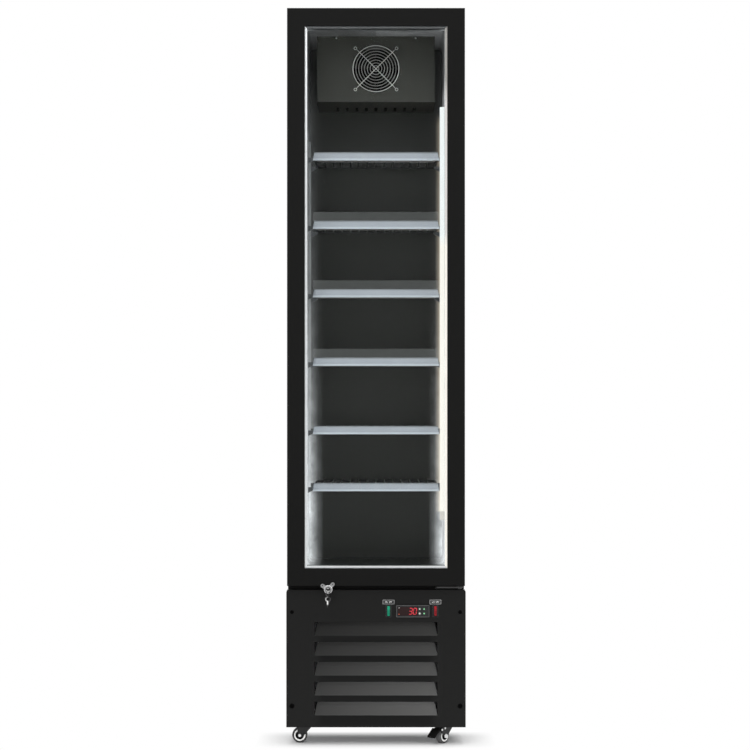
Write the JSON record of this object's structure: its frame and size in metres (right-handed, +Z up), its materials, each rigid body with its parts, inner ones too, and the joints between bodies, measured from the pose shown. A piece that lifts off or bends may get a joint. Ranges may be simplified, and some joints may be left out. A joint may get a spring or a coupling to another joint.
{
  "type": "commercial freezer",
  "caption": "Tall narrow upright display freezer with a glass door on right-hand hinges, wire shelves, a fan evaporator, a louvred machine base with controls, and swivel casters.",
  "frame": {"origin": "centre of the overall box on the floor, under the casters", "axes": "+X to the right seen from the front, -Y out of the door, +Z up"},
  "size_m": [0.444, 0.462, 1.82],
  "materials": {
    "black_paint": "satin powder coat",
    "liner_paint": "semi-gloss",
    "foam": "closed-cell foam",
    "galvanised": "zinc plated",
    "clip_plastic": "moulded",
    "shelf_wire": "epoxy coated",
    "clear_plastic": "clear acrylic",
    "door_glass": "clear insulating glass",
    "spacer": "bright",
    "seal_rubber": "matt",
    "chrome": "polished",
    "lamp_body": "anodised",
    "lamp_diffuser": "opal",
    "fin_aluminium": "bare",
    "copper": "drawn copper",
    "motor_paint": "gloss",
    "fan_plastic": "moulded",
    "control_plastic": "moulded",
    "button_plastic": "moulded",
    "rocker_green": "gloss",
    "rocker_red": "gloss",
    "key_steel": "nickel plated",
    "wheel_plastic": "moulded",
    "pedal_plastic": "moulded"
  },
  "bodies": {
    "cabinet": {"cabinet_shell": "black_paint", "insulation_foam": "foam", "inner_liner": "liner_paint", "shelf_standards": "galvanised", "shelf_clips": "clip_plastic", "lamp_base": "lamp_body", "lamp_lens": "lamp_diffuser", "evaporator_cover": "liner_paint", "evaporator_coil": "fin_aluminium", "evaporator_fan_motor": "motor_paint", "fan_guard": "chrome", "base_chassis": "galvanised", "front_panel": "black_paint", "rear_grille": "black_paint", "cord_gland": "seal_rubber", "condenser_coil": "fin_aluminium", "condenser_fan_shroud": "galvanised", "condenser_fan_motor": "motor_paint", "compressor": "motor_paint", "refrigerant_lines": "copper", "controller_housing": "control_plastic", "switch_housings": "control_plastic", "top_hinge_bracket": "galvanised", "bottom_hinge_bracket": "galvanised", "caster_plates": "galvanised", "cabinet_screws": "galvanised"},
    "door": {"door_frame": "black_paint", "door_inner_frame": "control_plastic", "door_glass": "door_glass", "glass_spacer": "spacer", "door_gasket": "seal_rubber", "lock_body": "chrome"},
    "lock": {"lock_cylinder": "key_steel"},
    "keyring": {"spare_key": "key_steel"},
    "evaporator_fan": {"evaporator_fan_blade": "fan_plastic"},
    "condenser_fan": {"condenser_fan_blade": "fan_plastic"},
    "brake": {"brake_pedal": "pedal_plastic"},
    "light_switch": {"light_switch_rocker": "rocker_green"},
    "power_switch": {"power_switch_rocker": "rocker_red"},
    "fork_front_left": {"caster_fork_front_left": "galvanised"},
    "wheel_front_left": {"caster_wheel_front_left": "wheel_plastic"},
    "fork_front_right": {"caster_fork_front_right": "galvanised"},
    "wheel_front_right": {"caster_wheel_front_right": "wheel_plastic"},
    "fork_rear_left": {"caster_fork_rear_left": "galvanised"},
    "wheel_rear_left": {"caster_wheel_rear_left": "wheel_plastic"},
    "fork_rear_right": {"caster_fork_rear_right": "galvanised"},
    "wheel_rear_right": {"caster_wheel_rear_right": "wheel_plastic"},
    "key_set": {"button_set": "button_plastic"},
    "key_up": {"button_up": "button_plastic"},
    "key_defrost": {"button_defrost": "button_plastic"},
    "key_down": {"button_down": "button_plastic"},
    "shelf_1_set": {"shelf_1": "shelf_wire"},
    "shelf_2_set": {"shelf_2": "shelf_wire", "shelf_fence_2": "clear_plastic"},
    "shelf_3_set": {"shelf_3": "shelf_wire", "shelf_fence_3": "clear_plastic"},
    "shelf_4_set": {"shelf_4": "shelf_wire", "shelf_fence_4": "clear_plastic"},
    "shelf_5_set": {"shelf_5": "shelf_wire"},
    "shelf_6_set": {"shelf_6": "shelf_wire"}
  },
  "joints": [
    {"name": "door_hinge", "type": "hinge", "parent": "cabinet", "child": "door", "pos_m": [0.205, -0.177, 0.397], "axis": [0, 0, 1], "range_deg": [0, 110]},
    {"name": "lock_turn", "type": "hinge", "parent": "door", "child": "lock", "pos_m": [-0.1175, -0.207, 0.389], "axis": [0, 1, 0], "range_deg": [0, 180]},
    {"name": "keyring_swing", "type": "hinge", "parent": "lock", "child": "keyring", "pos_m": [-0.1175, -0.224, 0.3845], "axis": [-1, 0, 0], "range_deg": [-10, 60]},
    {"name": "evaporator_fan_spin", "type": "hinge", "parent": "cabinet", "child": "evaporator_fan", "pos_m": [0, -0.014, 1.697], "axis": [0, 1, 0], "continuous": true},
    {"name": "condenser_fan_spin", "type": "hinge", "parent": "cabinet", "child": "condenser_fan", "pos_m": [0, -0.0668, 0.1735], "axis": [0, 1, 0], "continuous": true},
    {"name": "swivel_front_left", "type": "hinge", "parent": "cabinet", "child": "fork_front_left", "pos_m": [-0.175, -0.128, 0.04], "axis": [0, 0, 1], "continuous": true},
    {"name": "roll_front_left", "type": "hinge", "parent": "fork_front_left", "child": "wheel_front_left", "pos_m": [-0.19, -0.128, 0.019], "axis": [0, 1, 0], "continuous": true},
    {"name": "swivel_front_right", "type": "hinge", "parent": "cabinet", "child": "fork_front_right", "pos_m": [0.175, -0.128, 0.04], "axis": [0, 0, 1], "continuous": true},
    {"name": "roll_front_right", "type": "hinge", "parent": "fork_front_right", "child": "wheel_front_right", "pos_m": [0.16536, -0.13949, 0.019], "axis": [-0.766, 0.6428, 0], "continuous": true},
    {"name": "brake_release", "type": "hinge", "parent": "fork_front_right", "child": "brake", "pos_m": [0.15572, -0.15098, 0.0362], "axis": [-0.766, 0.6428, 0], "range_deg": [0, 15]},
    {"name": "swivel_rear_left", "type": "hinge", "parent": "cabinet", "child": "fork_rear_left", "pos_m": [-0.175, 0.185, 0.04], "axis": [0, 0, 1], "continuous": true},
    {"name": "roll_rear_left", "type": "hinge", "parent": "fork_rear_left", "child": "wheel_rear_left", "pos_m": [-0.18799, 0.1925, 0.019], "axis": [0.5, 0.866, 0], "continuous": true},
    {"name": "swivel_rear_right", "type": "hinge", "parent": "cabinet", "child": "fork_rear_right", "pos_m": [0.175, 0.185, 0.04], "axis": [0, 0, 1], "continuous": true},
    {"name": "roll_rear_right", "type": "hinge", "parent": "fork_rear_right", "child": "wheel_rear_right", "pos_m": [0.1825, 0.19799, 0.019], "axis": [0.866, -0.5, 0], "continuous": true},
    {"name": "light_switch_rock", "type": "hinge", "parent": "cabinet", "child": "light_switch", "pos_m": [0.031, -0.1736, 0.3325], "axis": [1, 0, 0], "range_deg": [0, 14]},
    {"name": "power_switch_rock", "type": "hinge", "parent": "cabinet", "child": "power_switch", "pos_m": [0.147, -0.1736, 0.3325], "axis": [1, 0, 0], "range_deg": [0, 14]},
    {"name": "set_press", "type": "slide", "parent": "cabinet", "child": "key_set", "axis": [0, 1, 0], "range_m": [0, 0.001], "stiffness_N_per_m": 300},
    {"name": "up_press", "type": "slide", "parent": "cabinet", "child": "key_up", "axis": [0, 1, 0], "range_m": [0, 0.001], "stiffness_N_per_m": 300},
    {"name": "defrost_press", "type": "slide", "parent": "cabinet", "child": "key_defrost", "axis": [0, 1, 0], "range_m": [0, 0.001], "stiffness_N_per_m": 300},
    {"name": "down_press", "type": "slide", "parent": "cabinet", "child": "key_down", "axis": [0, 1, 0], "range_m": [0, 0.001], "stiffness_N_per_m": 300},
    {"name": "shelf_1_lift", "type": "slide", "parent": "cabinet", "child": "shelf_1_set", "axis": [0, 0, 1], "range_m": [0, 0.018]},
    {"name": "shelf_2_lift", "type": "slide", "parent": "cabinet", "child": "shelf_2_set", "axis": [0, 0, 1], "range_m": [0, 0.018]},
    {"name": "shelf_3_lift", "type": "slide", "parent": "cabinet", "child": "shelf_3_set", "axis": [0, 0, 1], "range_m": [0, 0.018]},
    {"name": "shelf_4_lift", "type": "slide", "parent": "cabinet", "child": "shelf_4_set", "axis": [0, 0, 1], "range_m": [0, 0.018]},
    {"name": "shelf_5_lift", "type": "slide", "parent": "cabinet", "child": "shelf_5_set", "axis": [0, 0, 1], "range_m": [0, 0.018]},
    {"name": "shelf_6_lift", "type": "slide", "parent": "cabinet", "child": "shelf_6_set", "axis": [0, 0, 1], "range_m": [0, 0.018]}
  ]
}
